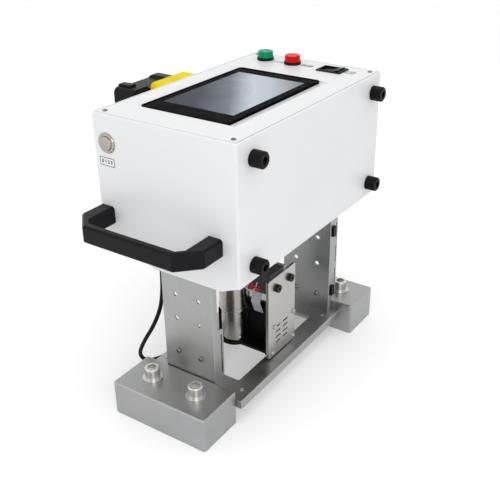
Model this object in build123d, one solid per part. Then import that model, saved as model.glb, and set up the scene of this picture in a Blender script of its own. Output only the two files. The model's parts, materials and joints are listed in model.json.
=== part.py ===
from build123d import *
import math
import os

# Nameplate marking machine: a touch-screen head on a zinc-plated stand, with a two-axis stage inside
# Working origin: centre of the head's bottom face; +X to the operator's right, +Y to the rear, +Z up
# Everything is moved at the end to the stored origin, the bottom centre of the machine without its lead

# Clearances, shares and turns that several pieces use
run_gap = 0.3
seat_gap = 0.05
overrun = 1.0
half_share = 0.5
dome_share = 0.7
cap_chamfer_share = 0.08
rail_share = 0.62
quarter_turn = 90.0
hex_sides = 6
shown_digits = 3
band_share = 0.3

# Head: folded sheet housing
head_width = 230.0
head_length = 383.0
head_height = 195.0
wall = 2.0
lid_thickness = 2.0
rim_width = 3.2
ledge_width = 18.0
ledge_thickness = 2.0
floor_ledge_width = 12.0
head_corner_radius = 3.0
head_top_radius = 1.6
apron_drop = 11.0
apron_slope_run = 29.0
floor_thickness = 3.0
opening_left = -24.0
opening_right = 87.0
opening_front = -142.0
opening_rear = 24.0

# Stand: two foot blocks joined by a folded frame, and two channel legs
stand_x = 26.0
stand_height = 217.0
frame_x = 31.0
rear_shift = 30.0
block_width = 158.0
block_depth = 74.0
block_height = 52.0
block_wall = 3.0
block_radius = 2.5
front_block_y = -264.0
rear_block_y = 91.0
frame_width = 165.0
frame_top_drop = 179.0
frame_height = 12.0
frame_sheet = 2.5
rail_width = 31.0
front_tie_depth = 38.0
rear_tie_depth = 44.0
frame_hole_radius = 2.6
frame_hole_inset = 15.0
leg_width = 86.0
leg_sheet = 2.5
leg_flange = 9.5
leg_deep_flange = 22.0
leg_top_flange = 28.0
rear_leg_y = 79.0
leg_hole_radius = 3.4
leg_hole_spacing = 39.0
front_hole_heights = (45.0, 99.5, 137.5)
rear_hole_heights = (27.0, 82.5, 128.5)
tab_width = 62.0
front_tab_height = 66.0
rear_tab_height = 46.0
deep_flange_height = 91.0
slot_width = 3.0
slot_margin = 5.0
rear_flange_start = 18.0
rear_slot_count = 3
rear_slot_gap = 12.0
clamp_length = 16.0
clamp_thickness = 4.0
clamp_depth = 9.0

# Foot screws: socket-head cap screws on plain washers
cap_head_radius = 10.5
cap_head_height = 16.0
cap_shank_radius = 7.0
cap_shank_length = 26.0
cap_socket_radius = 6.0
cap_socket_depth = 7.0
cap_spacing = 76.0
washer_radius = 14.2
washer_thickness = 2.5

# Small screws
pan_radius = 4.2
pan_height = 2.6
pan_shank_radius = 2.5
pan_shank_length = 7.0
pan_socket_radius = 1.5
pan_socket_depth = 1.3

# Lid and sunken screen tray
lid_gap = 0.4
lid_screw_inset_x = 13.0
lid_screw_inset_y = 13.0
lid_screw_radius = 3.4
lid_screw_height = 1.2
tray_x = -7.0
tray_y = -22.0
tray_width = 170.0
tray_length = 236.0
tray_side_slope = 11.0
tray_end_slope = 0.6
tray_depth = 3.0
tray_sheet = 1.5
screen_side_gap = 3.0
screen_end_gap = 0.4
screen_corner = 6.0
screen_body_thickness = 10.0
screen_lip = 4.0
glass_thickness = 0.8
bezel_side = 13.5
bezel_front = 33.0
bezel_rear = 23.5
display_thickness = 1.4

# Push buttons on the lid
start_x = -73.0
stop_x = -22.5
button_y = 158.0
collar_radius = 13.4
collar_height = 4.3
collar_wall = 1.0
cap_rise = 9.5
cap_depth = 18.0
button_travel = 2.0
barrel_radius = 10.9
barrel_length = 26.0
nut_radius = 14.5
nut_height = 5.0

# Rocker power switch
rocker_x = 49.0
rocker_y = 157.0
rocker_frame_length = 42.0
rocker_frame_width = 31.0
rocker_frame_height = 2.2
rocker_rim = 3.6
rocker_depth = 20.0
rocker_floor = 3.0
rocker_tilt = 10.0
rocker_rise = 3.2
rocker_radius = 8.0
rocker_pivot_depth = 3.6
rocker_end_gap = 1.4

# Legend plates, bare
legend_thickness = 0.5
start_legend = (-46.5, 154.0, 14.0, 9.0)
stop_legend = (4.7, 157.5, 19.0, 10.0)
switch_legend = (80.0, 157.0, 15.0, 12.0)
front_legend = (-93.5, 130.0, 25.7, 12.4)

# Front push button, stainless
ring_x = -91.5
ring_z = 156.5
ring_radius = 14.0
ring_thickness = 2.4
ring_bore = 10.0
ring_barrel_length = 24.0
plunger_radius = 9.7
plunger_rise = 1.6
plunger_travel = 1.5
plunger_depth = 12.0

# Carrying handle
handle_left_inset = 1.5
handle_right_inset = 24.0
handle_reach = 66.0
handle_low = 39.5
handle_height = 26.0
handle_arm = 24.0
handle_bar = 12.5
handle_corner = 29.0
handle_inner_corner = 7.5
handle_bevel = 3.0
handle_screw_radius = 3.0
handle_screw_head = 5.5
handle_screw_length = 16.0
handle_washer_height = 4.0

# Rubber bumpers on the right side
bumper_radius = 11.1
bumper_length = 17.5
bumper_edge = 1.5
bumper_span = 323.0
bumper_middle_y = 4.0
bumper_low = 22.0
bumper_high = 168.0
bumper_recess_radius = 5.0
bumper_recess_depth = 7.0
bumper_screw_radius = 4.2
bumper_screw_head = 3.0
bumper_shank_radius = 2.4

# Battery dock and battery pack on the left side
dock_length = 120.0
dock_thickness = 30.0
dock_height = 74.0
dock_front_y = -63.0
dock_top = 182.0
dock_radius = 8.0
hood_front_y = -38.0
hood_length = 74.0
hood_rise = 11.0
hood_edge = 3.0
hood_slope = 5.0
dock_rail_depth = 7.0
dock_rail_height = 46.0
dock_rail_neck = 4.0
pack_length = 106.0
pack_thickness = 40.0
pack_height = 88.0
pack_front_y = -78.0
pack_radius = 10.0
pack_band_depth = 2.0
saddle_y = -42.0
saddle_length = 44.0
saddle_depth = 4.0
saddle_slope = 5.0
latch_length = 22.0
latch_width = 13.0
latch_travel = 3.0
latch_rise = 3.4

# Stage inside the head
rail_x = 95.0
rail_breadth = 12.0
rail_height = 8.0
y_rail_length = 230.0
y_rail_front = -158.0
block_wall_side = 8.0
block_run = 46.0
block_top = 7.0
unit_y = -67.0
beam_thickness = 16.0
beam_height = 60.0
beam_side_gap = 6.0
x_rail_length = 196.0
x_block_length = 40.0
x_block_depth = 22.0
x_block_height = 28.0
screw_radius = 4.0
nut_block = 18.0
running_fit = 0.05
hole_gap = 0.6
nut_block_length = 16.0
motor_size = 42.0
motor_length = 34.0
motor_boss_radius = 11.0
motor_boss_height = 2.0
motor_corner_share = 0.1
motor_bore_depth = 12.0
coupling_radius = 8.0
coupling_length = 18.0
y_screw_x = -80.0
y_screw_z = 30.0
y_screw_front = -150.0
y_screw_rear = 118.0
x_screw_z = 72.0
x_motor_size = 28.0
x_motor_length = 32.0
bearing_thickness = 10.0
bearing_width = 15.0

# Marking unit below the head
unit_x = 17.0
housing_radius = 23.0
housing_top = 70.0
housing_bottom = -118.0
housing_ring_height = 5.0
housing_ring_proud = 0.9
sleeve_radius = 21.0
sleeve_bottom = -171.0
sleeve_groove = 0.8
cap_thickness = 8.0
cap_edge = 3.0
nub_radius = 5.0
nub_height = 5.0
pin_radius = 1.8
pin_reach = 3.0
pin_tip_radius = 0.3
pin_length = 60.0
pin_collar_radius = 5.0
pin_collar_height = 4.0
spring_wire = 0.8
spring_turns = 4
spring_height = 18.0
spring_radius = 3.4
spring_sides = 6
carriage_thickness = 6.0
carriage_top = 92.0
carriage_bottom = -75.0
clamp_wall = 6.0
clamp_height = 26.0
clamp_base = 18.0
arm_top = -42.0
arm_height = 33.0
arm_depth = 36.0
arm_length = 38.0
arm_edge = 1.5
plate_thickness = 4.6
plate_x = 88.4
plate_front = -89.5
plate_width = 72.0
plate_top = -46.0
plate_height = 131.0
plate_cap_places = ((-67.9, -64.7), (-32.8, -63.6))
plate_pan_places = ((-22.0, -127.0), (-74.0, -128.0), (-22.4, -171.0), (-79.4, -171.0))
plate_corner = 3.0
plate_cap_radius = 6.0
plate_cap_height = 5.0
plate_pan_radius = 3.6
plate_pan_height = 3.0
slot_rows = 4
slot_columns = 2
plate_slot_y = -71.0
plate_slot_z = -132.0
plate_slot_pitch = 9.0
plate_slot_step = 20.0
plate_slot_length = 14.0
plate_slot_width = 3.0
plate_slot_depth = 1.2
bracket_web = 8.0
bracket_top = -92.0
cradle_wall = 7.0
cradle_top = -124.0
bracket_bottom = -175.0
cradle_slant_share = 0.4
bracket_inset = 5.0
bracket_foot = 9.0
ribbon_thickness = 0.9
ribbon_width = 16.0
ribbon_x = 50.0
ribbon_setback = 4.0
ribbon_fall = 9.0
ribbon_drop = 22.0

# Glands under the floor, and the power lead
gland_x = -34.0
gland_y = -168.0
gland_hex = 17.0
gland_nut_height = 4.0
gland_mouth_radius = 4.8
spare_gland_x = 60.0
spare_gland_y = 52.0
spare_gland_radius = 8.0
spare_gland_length = 26.0
lead_diameter = 6.0
lead_radius = lead_diameter / 2
lead_route = [
    (-34.0, -168.0, -22.0),
    (-34.0, -168.0, -70.0),
    (-55.0, -168.0, -120.0),
    (-80.0, -168.0, -164.0),
    (-92.0, -163.0, -192.0),
    (-94.0, -142.0, -210.0),
    (-80.0, -106.0, -214.0),
    (-65.0, -62.0, -214.0),
    (-62.0, -14.0, -214.0),
    (-76.0, 32.0, -214.0),
    (-104.0, 72.0, -214.0),
    (-136.0, 108.0, -214.0),
    (-157.0, 146.0, -214.0),
    (-161.0, 185.0, -214.0),
]
arc_share = 0.45
coil_radius = 44.0
coil_pitch = 7.5
coil_rise = 8.2
coil_half_turns = 9
coil_sides = 8
plug_width = 24.0
plug_height = 22.0
plug_length = 38.0
plug_boot_length = 28.0
plug_pin_radius = 2.4
plug_pin_length = 19.0
plug_pin_spacing = 14.0
plug_round_share = 0.3

# Control board inside the head
board_length = 90.0
board_width = 60.0
board_thickness = 1.6
board_x = 58.0
board_y = 128.0
board_post_radius = 3.0
board_post_height = 10.0
board_chip = 14.0
board_chip_height = 4.0

# Worked-out places
left_x = -head_width / 2
right_x = head_width / 2
front_y = -head_length / 2
rear_y = head_length / 2
top_z = head_height
ground_z = -stand_height
block_top_z = ground_z + block_height
frame_top_z = -frame_top_drop
rear_x = stand_x + rear_shift
block_left = stand_x - block_width / 2
frame_left = frame_x - frame_width / 2
frame_right = frame_x + frame_width / 2
front_block_back = front_block_y + block_depth
rear_block_back = rear_block_y + block_depth
front_leg_y = front_y + wall + seat_gap
front_web_back = front_leg_y + leg_sheet
rear_web_back = rear_leg_y + leg_sheet
pack_outer = left_x - dock_thickness - pack_thickness
bumper_outer = right_x + bumper_length
floor_top = wall + floor_thickness
handle_width = head_width - handle_left_inset - handle_right_inset
handle_x = left_x + handle_left_inset + handle_width / 2
screen_width = tray_width - 2 * (tray_side_slope + screen_side_gap)
screen_length = tray_length - 2 * (tray_end_slope + screen_end_gap)
beam_length = head_width - 2 * (wall + beam_side_gap)

# Stored origin: bottom centre of everything but the lead
origin_x = (pack_outer + bumper_outer) / 2
origin_y = (front_block_y + max(rear_block_back, rear_y)) / 2
origin_shift = Pos(-origin_x, -origin_y, stand_height)

# Turns that point a piece's own +Z to the front or to the right
face_front = Rot(quarter_turn, 0, 0)
face_right = Rot(0, quarter_turn, 0)

parts = {}


def keep(name, *solids):
    """Puts the separate solids of one node on the list of what is written."""
    parts.setdefault(name, []).extend(solids)


def block(x_span, y_span, z_span):
    """A rectangular solid between two values on each axis."""
    size = [abs(span[1] - span[0]) for span in (x_span, y_span, z_span)]
    low = [min(span) for span in (x_span, y_span, z_span)]
    return Pos(*low) * Box(*size, align=(Align.MIN, Align.MIN, Align.MIN))


def rod_z(x, y, z_span, radius):
    """A round bar along Z between two heights."""
    return Pos(x, y, min(z_span)) * Cylinder(
        radius,
        abs(z_span[1] - z_span[0]),
        align=(Align.CENTER, Align.CENTER, Align.MIN),
    )


def rod_y(x, z, y_span, radius):
    """A round bar along Y."""
    length = abs(y_span[1] - y_span[0])
    bar = Cylinder(radius, length, align=(Align.CENTER, Align.CENTER, Align.MIN))
    return Pos(x, max(y_span), z) * face_front * bar


def rod_x(y, z, x_span, radius):
    """A round bar along X."""
    length = abs(x_span[1] - x_span[0])
    bar = Cylinder(radius, length, align=(Align.CENTER, Align.CENTER, Align.MIN))
    return Pos(min(x_span), y, z) * face_right * bar


def prism_z(points, z_span):
    """A solid with a straight-sided outline in plan."""
    outline = make_face(Polyline(*points, close=True))
    return Pos(0, 0, min(z_span)) * extrude(outline, abs(z_span[1] - z_span[0]))


def prism_x(points, x_span):
    """A solid with an outline drawn in (Y, Z), pushed along X."""
    face = make_face(Polyline(*[(min(x_span), y, z) for y, z in points], close=True))
    return extrude(face, abs(x_span[1] - x_span[0]), dir=(1, 0, 0))


def prism_y(points, y_span):
    """A solid with an outline drawn in (X, Z), pushed along Y."""
    face = make_face(Polyline(*[(x, min(y_span), z) for x, z in points], close=True))
    return extrude(face, abs(y_span[1] - y_span[0]), dir=(0, 1, 0))


def rounded_slab(x_span, y_span, z_span, radius):
    """A flat slab with rounded upright edges."""
    slab = block(x_span, y_span, z_span)
    return fillet(slab.edges().filter_by(Axis.Z), radius)


def hexagon(x, y, z_span, across):
    """A hexagonal prism, given its size across flats."""
    plan = RegularPolygon(across / 2 / math.cos(math.pi / hex_sides), hex_sides)
    return Pos(x, y, min(z_span)) * extrude(plan, abs(z_span[1] - z_span[0]))


def pan_screw(place, length=pan_shank_length, head=pan_radius):
    """A button-head screw; its seat is at the place's origin, and its head stands along +Z."""
    dome = Cylinder(head, pan_height, align=(Align.CENTER, Align.CENTER, Align.MIN))
    dome = chamfer(dome.edges().group_by(Axis.Z)[-1], pan_height * half_share)
    shank = Cylinder(pan_shank_radius, length, align=(Align.CENTER, Align.CENTER, Align.MAX))
    socket = Pos(0, 0, pan_height - pan_socket_depth) * extrude(
        RegularPolygon(pan_socket_radius, hex_sides),
        pan_height,
    )
    return place * (dome + shank - socket)


# Foot blocks, cap screws and washers
def foot_block(mid_x, y0):
    """A box with rounded top edges, open underneath, and a boss for each cap screw."""
    y1 = y0 + block_depth
    x0 = mid_x - block_width / 2
    x1 = mid_x + block_width / 2
    shell = block((x0, x1), (y0, y1), (ground_z, block_top_z))
    shell = fillet(shell.edges().filter_by(Axis.Z), block_radius + overrun)
    shell = fillet(shell.edges().group_by(Axis.Z)[-1], block_radius)
    hollow = block(
        (x0 + block_wall, x1 - block_wall),
        (y0 + block_wall, y1 - block_wall),
        (ground_z - overrun, block_top_z - block_wall),
    )
    shell -= hollow
    for side in (-1, 1):
        x = mid_x + side * cap_spacing / 2
        boss = rod_z(
            x,
            (y0 + y1) / 2,
            (block_top_z - cap_shank_length, block_top_z - block_wall),
            washer_radius,
        )
        shell += boss
        shell -= rod_z(x, (y0 + y1) / 2, (ground_z, block_top_z + overrun), cap_shank_radius + seat_gap)
    return shell


def foot_screws(mid_x, y0):
    """Cap screws and washers on one block."""
    y = y0 + block_depth / 2
    for side in (-1, 1):
        x = mid_x + side * cap_spacing / 2
        seat = block_top_z + washer_thickness
        head = rod_z(x, y, (seat, seat + cap_head_height), cap_head_radius)
        head = chamfer(head.edges().group_by(Axis.Z)[-1], cap_head_height * cap_chamfer_share)
        shank = rod_z(x, y, (seat - cap_shank_length, seat), cap_shank_radius)
        socket = hexagon(
            x,
            y,
            (seat + cap_head_height - cap_socket_depth, seat + cap_head_height + overrun),
            2 * cap_socket_radius,
        )
        keep("foot_screws", head + shank - socket)
        ring = rod_z(x, y, (block_top_z, seat), washer_radius)
        keep(
            "foot_washers",
            ring - rod_z(x, y, (block_top_z - overrun, seat + overrun), cap_shank_radius + seat_gap),
        )


keep("front_foot_block", foot_block(stand_x, front_block_y))
keep("rear_foot_block", foot_block(rear_x, rear_block_y))
foot_screws(stand_x, front_block_y)
foot_screws(rear_x, rear_block_y)


# Base frame
def base_frame():
    """One folded sheet with a window, side flanges and an upright tab behind each leg."""
    y0 = front_block_back
    y1 = rear_block_y
    window_left = frame_left + rail_width
    window_right = frame_right - rail_width
    frame_low = frame_top_z - frame_height
    plate = block((frame_left, frame_right), (y0, y1), (frame_low, frame_top_z))
    plate = fillet(plate.edges().filter_by(Axis.Y).group_by(Axis.Z)[-1], block_radius)
    plate -= block(
        (frame_left + frame_sheet, frame_right - frame_sheet),
        (y0 + frame_sheet, y1 - frame_sheet),
        (frame_low - overrun, frame_top_z - frame_sheet),
    )
    window = rounded_slab(
        (window_left, window_right),
        (y0 + front_tie_depth, y1 - rear_tie_depth),
        (frame_low - overrun, frame_top_z + overrun),
        block_radius,
    )
    plate -= window
    tabs = ((stand_x, front_web_back, front_tab_height), (rear_x, rear_web_back, rear_tab_height))
    for x, y, rise in tabs:
        x_span = (x - tab_width / 2, x + tab_width / 2)
        plate += block(x_span, (y, y + frame_sheet), (frame_top_z - frame_sheet, frame_top_z + rise))
    for x in (frame_left + frame_hole_inset, frame_right - frame_hole_inset):
        for y in (y0 + front_tie_depth - frame_hole_inset, y1 - rear_tie_depth + frame_hole_inset):
            plate -= rod_z(x, y, (frame_low, frame_top_z + overrun), frame_hole_radius)
    return plate


# Leg holes pass through the web, and the lowest pair also through the tab behind it
def leg_hole_places(mid_x, heights):
    """Places (X, Z) of the pairs of holes in one leg's web."""
    sides = (-leg_hole_spacing / 2, leg_hole_spacing / 2)
    return [(mid_x + side, frame_top_z + height) for height in heights for side in sides]


frame_plate = base_frame()
for hole_x, hole_z in leg_hole_places(stand_x, front_hole_heights[:1]):
    frame_plate -= rod_y(
        hole_x,
        hole_z,
        (front_leg_y, front_web_back + leg_deep_flange),
        pan_shank_radius + seat_gap,
    )
for hole_x, hole_z in leg_hole_places(rear_x, rear_hole_heights[:1]):
    frame_plate -= rod_y(
        hole_x,
        hole_z,
        (rear_leg_y, rear_web_back + frame_sheet + overrun),
        pan_shank_radius + seat_gap,
    )
keep("base_frame", frame_plate)


def leg(mid_x, y0, heights, foot_span, deep_span):
    """A channel leg: web to the front, side flanges to the rear, and a flange under the head."""
    leg_left = mid_x - leg_width / 2
    leg_right = mid_x + leg_width / 2
    web = block((leg_left, leg_right), (y0, y0 + leg_sheet), (frame_top_z, 0))
    top = block((leg_left, leg_right), (y0, y0 + leg_top_flange), (-leg_sheet, 0))
    solid = web + top
    for x0 in (leg_left, leg_right - leg_sheet):
        outline = [
            (y0, frame_top_z),
            (y0 + leg_flange, frame_top_z),
            (y0 + leg_flange, deep_span[0]),
            (y0 + leg_deep_flange, deep_span[0] + foot_span),
            (y0 + leg_deep_flange, deep_span[1]),
            (y0 + leg_flange, deep_span[1] + foot_span),
            (y0 + leg_flange, 0),
            (y0, 0),
        ]
        solid += prism_x(outline, (x0, x0 + leg_sheet))
    edges = solid.edges().filter_by(Axis.Z).filter_by_position(Axis.Y, y0 - seat_gap, y0 + seat_gap)
    solid = fillet(edges, leg_sheet * half_share)
    for x, z in leg_hole_places(mid_x, heights):
        low = z == frame_top_z + heights[0]
        radius = pan_shank_radius + seat_gap if low else leg_hole_radius
        solid -= rod_y(x, z, (y0 - overrun, y0 + leg_sheet + overrun), radius)
    return solid


def flange_slots(mid_x, y0, z_span, count):
    """Upright slots near the rear edge of both deep flanges."""
    half = leg_width / 2 + overrun
    pitch = (z_span[1] - z_span[0]) / count
    cuts = []
    for index in range(count):
        z0 = z_span[0] + index * pitch + rear_slot_gap / 2
        y1 = y0 + leg_deep_flange - slot_margin * half_share
        slot = block((mid_x - half, mid_x + half), (y1 - slot_width, y1), (z0, z0 + pitch - rear_slot_gap))
        cuts.append(slot)
    return cuts


front_deep = (frame_top_z + leg_flange, frame_top_z + deep_flange_height)
front_leg_solid = leg(stand_x, front_leg_y, front_hole_heights, slot_margin, front_deep)
for cut in flange_slots(stand_x, front_leg_y, (front_deep[0] + slot_margin, front_deep[1]), 1):
    front_leg_solid -= cut
keep("front_leg", front_leg_solid)

rear_deep = (block_top_z + slot_margin, -leg_flange - rear_flange_start * half_share)
rear_leg_solid = leg(rear_x, rear_leg_y, rear_hole_heights, slot_margin, rear_deep)
rear_slot_span = (rear_deep[0] + rear_flange_start, rear_deep[1])
for cut in flange_slots(rear_x, rear_leg_y, rear_slot_span, rear_slot_count):
    rear_leg_solid -= cut
keep("rear_leg", rear_leg_solid)

# Screws through the legs, and up through their top flanges into the head's floor
for hole_x, hole_z in leg_hole_places(stand_x, front_hole_heights[:1]):
    keep("leg_screws", pan_screw(Pos(hole_x, front_leg_y, hole_z) * face_front))
for hole_x, hole_z in leg_hole_places(rear_x, rear_hole_heights[:1]):
    keep("leg_screws", pan_screw(Pos(hole_x, rear_leg_y, hole_z) * face_front))

# Clamp blocks on the rear leg's right flange
rear_leg_right = rear_x + leg_width / 2
for z0 in (rear_deep[0] + leg_flange, rear_deep[1] - leg_flange - clamp_length):
    y0 = rear_web_back + run_gap
    x_span = (rear_leg_right, rear_leg_right + clamp_thickness)
    keep("leg_clamps", block(x_span, (y0, y0 + clamp_depth), (z0, z0 + clamp_length)))


# Head shell
def head_shell():
    """Four walls with a stepped rim for the lid, a ledge for the floor and a front apron."""
    shell = block((left_x, right_x), (front_y, rear_y), (0, top_z))
    shell = fillet(shell.edges().filter_by(Axis.Z), head_corner_radius)
    shell = fillet(shell.edges().group_by(Axis.Z)[-1], head_top_radius)
    lid_seat = top_z - lid_thickness
    shell -= block(
        (left_x + wall, right_x - wall),
        (front_y + wall, rear_y - wall),
        (wall, lid_seat - ledge_thickness),
    )
    shell -= block(
        (left_x + rim_width, right_x - rim_width),
        (front_y + rim_width, rear_y - rim_width),
        (lid_seat, top_z + overrun),
    )
    shell -= block(
        (left_x + ledge_width, right_x - ledge_width),
        (front_y + ledge_width, rear_y - ledge_width),
        (lid_seat - ledge_thickness - overrun, top_z + overrun),
    )
    shell -= block(
        (left_x + floor_ledge_width, right_x - floor_ledge_width),
        (front_y + floor_ledge_width, rear_y - floor_ledge_width),
        (-overrun, wall + overrun),
    )
    apron = [
        (block_left, wall + overrun),
        (block_left, 0),
        (block_left + apron_slope_run, -apron_drop),
        (right_x - apron_slope_run, -apron_drop),
        (right_x - head_corner_radius, 0),
        (right_x - head_corner_radius, wall + overrun),
    ]
    return shell + prism_y(apron, (front_y, front_y + wall))


shell_solid = head_shell()


# Floor plate of the head
def head_floor():
    """A plate with the stage opening and the holes of both glands."""
    plate = block(
        (left_x + wall + seat_gap, right_x - wall - seat_gap),
        (front_y + wall + seat_gap, rear_y - wall - seat_gap),
        (wall, floor_top),
    )
    plate -= rounded_slab(
        (opening_left, opening_right),
        (opening_front, opening_rear),
        (0, floor_top + overrun),
        head_corner_radius,
    )
    plate -= rod_z(gland_x, gland_y, (0, floor_top + overrun), lead_radius + run_gap)
    plate -= rod_z(spare_gland_x, spare_gland_y, (0, floor_top + overrun), lead_radius + run_gap)
    return plate


keep("head_floor", head_floor())

# Lid with a sunken tray
def lid():
    """A plate with a tapered, pressed tray in which the screen sits."""
    z0 = top_z - lid_thickness
    inset = rim_width + lid_gap
    plate = block((left_x + inset, right_x - inset), (front_y + inset, rear_y - inset), (z0, top_z))
    plate = fillet(plate.edges().filter_by(Axis.Z), head_corner_radius * half_share)
    tray_low = top_z - tray_depth
    outer_top = Pos(tray_x, tray_y, top_z) * Rectangle(tray_width, tray_length)
    outer_low = Pos(tray_x, tray_y, tray_low) * Rectangle(
        tray_width - 2 * tray_side_slope,
        tray_length - 2 * tray_end_slope,
    )
    pocket = loft([outer_low, outer_top])
    under_top = Pos(tray_x, tray_y, z0) * Rectangle(tray_width + tray_sheet, tray_length + tray_sheet)
    under_low = Pos(tray_x, tray_y, tray_low - tray_sheet) * Rectangle(
        tray_width - 2 * tray_side_slope + tray_sheet, tray_length - 2 * tray_end_slope + tray_sheet
    )
    plate += loft([under_low, under_top])
    plate -= pocket
    plate -= block(
        (tray_x - screen_width / 2 + screen_lip, tray_x + screen_width / 2 - screen_lip),
        (tray_y - screen_length / 2 + screen_lip, tray_y + screen_length / 2 - screen_lip),
        (tray_low - tray_sheet - overrun, top_z),
    )
    for x in (start_x, stop_x):
        plate -= rod_z(x, button_y, (z0 - overrun, top_z + overrun), barrel_radius + seat_gap)
    plate -= block(
        (
            rocker_x - rocker_frame_length / 2 + rocker_rim * half_share,
            rocker_x + rocker_frame_length / 2 - rocker_rim * half_share,
        ),
        (
            rocker_y - rocker_frame_width / 2 + rocker_rim * half_share,
            rocker_y + rocker_frame_width / 2 - rocker_rim * half_share,
        ),
        (z0 - overrun, top_z + overrun),
    )
    return plate


lid_solid = lid()
lid_screw_x = right_x - lid_screw_inset_x
lid_screw_y = rear_y - lid_screw_inset_y
lid_screw_places = [(x, y) for x in (-lid_screw_x, lid_screw_x) for y in (-lid_screw_y, lid_screw_y)]
for x, y in lid_screw_places:
    drill = rod_z(
        x,
        y,
        (top_z - lid_thickness - ledge_thickness - overrun, top_z + overrun),
        pan_shank_radius + seat_gap,
    )
    lid_solid -= drill
    shell_solid -= drill
    screw = rod_z(x, y, (top_z, top_z + lid_screw_height), lid_screw_radius)
    screw = chamfer(screw.edges().group_by(Axis.Z)[-1], lid_screw_height * half_share)
    screw += rod_z(x, y, (top_z - pan_shank_length, top_z), pan_shank_radius)
    keep(
        "lid_screws",
        screw - hexagon(
            x,
            y,
            (top_z + lid_screw_height * half_share, top_z + overrun + lid_screw_height),
            2 * pan_socket_radius,
        ),
    )
keep("lid", lid_solid)


# Screen
def screen():
    """Housing with a rim, a display panel in it and a cover glass flush with the rim."""
    tray_low = top_z - tray_depth
    x0 = tray_x - screen_width / 2
    x1 = tray_x + screen_width / 2
    y0 = tray_y - screen_length / 2
    y1 = tray_y + screen_length / 2
    rim_top = tray_low + screen_lip
    body = rounded_slab((x0, x1), (y0, y1), (tray_low, rim_top), screen_corner)
    body += block(
        (x0 + screen_lip + seat_gap, x1 - screen_lip - seat_gap),
        (y0 + screen_lip + seat_gap, y1 - screen_lip - seat_gap),
        (rim_top - screen_body_thickness, tray_low),
    )
    body = chamfer(body.edges().group_by(Axis.Z)[-1], glass_thickness * half_share)
    lip = screen_lip * half_share
    body -= rounded_slab(
        (x0 + lip, x1 - lip),
        (y0 + lip, y1 - lip),
        (rim_top - glass_thickness, rim_top + overrun),
        screen_corner - lip,
    )
    display = (
        (x0 + bezel_side, x1 - bezel_side),
        (y0 + bezel_front, y1 - bezel_rear),
        (rim_top - glass_thickness - display_thickness, rim_top - glass_thickness),
    )
    body -= block(*display)
    keep("screen_housing", body)
    keep("display_panel", block(*display))
    keep(
        "cover_glass",
        rounded_slab(
            (x0 + lip, x1 - lip),
            (y0 + lip, y1 - lip),
            (rim_top - glass_thickness, rim_top),
            screen_corner - lip,
        ),
    )


screen()


# Push buttons on the lid
def push_button(name, x):
    """Collar with its barrel, a cap that moves in it, and a nut under the lid."""
    y = button_y
    low = top_z - barrel_length
    collar = rod_z(x, y, (top_z, top_z + collar_height), collar_radius)
    collar = chamfer(collar.edges().group_by(Axis.Z)[-1], collar_wall * half_share)
    collar += rod_z(x, y, (low, top_z), barrel_radius)
    well = top_z + cap_rise + collar_height - cap_depth - button_travel - run_gap
    collar -= rod_z(x, y, (well, top_z + collar_height + overrun), barrel_radius - collar_wall)
    collar -= rod_z(
        x,
        y,
        (top_z + collar_wall, top_z + collar_height + overrun),
        collar_radius - collar_wall,
    )
    keep("button_collars", collar)
    cap_top = top_z + collar_height + cap_rise
    cap_low = top_z + collar_wall + button_travel + run_gap
    cap = rod_z(x, y, (cap_low, cap_top), collar_radius - collar_wall - run_gap)
    cap = chamfer(cap.edges().group_by(Axis.Z)[-1], collar_wall * dome_share)
    cap += rod_z(x, y, (cap_top - cap_depth, cap_low), barrel_radius - collar_wall - run_gap)
    keep(name + "_cap", cap)
    nut_top = top_z - lid_thickness
    nut = hexagon(x, y, (nut_top - nut_height, nut_top), 2 * nut_radius) - rod_z(
        x,
        y,
        (low, top_z),
        barrel_radius + seat_gap,
    )
    keep("panel_nuts", nut)


push_button("start", start_x)
push_button("stop", stop_x)


# Rocker switch
def rocker_switch():
    """Frame clipped in the lid, and a two-faced rocker that turns about a line along Y."""
    x0 = rocker_x - rocker_frame_length / 2
    x1 = rocker_x + rocker_frame_length / 2
    y0 = rocker_y - rocker_frame_width / 2
    y1 = rocker_y + rocker_frame_width / 2
    lip = rocker_rim * half_share + seat_gap
    frame = rounded_slab((x0, x1), (y0, y1), (top_z, top_z + rocker_frame_height), rocker_rim * half_share)
    frame = chamfer(frame.edges().group_by(Axis.Z)[-1], rocker_frame_height * half_share)
    frame += block((x0 + lip, x1 - lip), (y0 + lip, y1 - lip), (top_z - rocker_depth, top_z))
    frame -= block(
        (x0 + rocker_rim, x1 - rocker_rim),
        (y0 + rocker_rim, y1 - rocker_rim),
        (top_z - rocker_depth + rocker_floor, top_z + rocker_frame_height + overrun),
    )
    pivot_z = top_z + rocker_frame_height - rocker_pivot_depth
    keep("switch_frame", frame)
    reach = rocker_frame_length / 2 - rocker_rim - rocker_end_gap
    rise = rocker_rise
    drop = rocker_radius
    outline = [
        (-reach, rise),
        (0, rise * half_share),
        (reach, rise),
        (reach, -drop * half_share),
        (0, -drop),
        (-reach, -drop * half_share),
    ]
    points = [(rocker_x + px, pivot_z + pz) for px, pz in outline]
    rocker = prism_y(points, (y0 + rocker_rim + run_gap, y1 - rocker_rim - run_gap))
    rocker = fillet(rocker.edges().filter_by(Axis.Y), rocker_frame_height * half_share * half_share)
    return rocker.rotate(Axis((rocker_x, rocker_y, pivot_z), (0, 1, 0)), -rocker_tilt)


keep("switch_rocker", rocker_switch())

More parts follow.
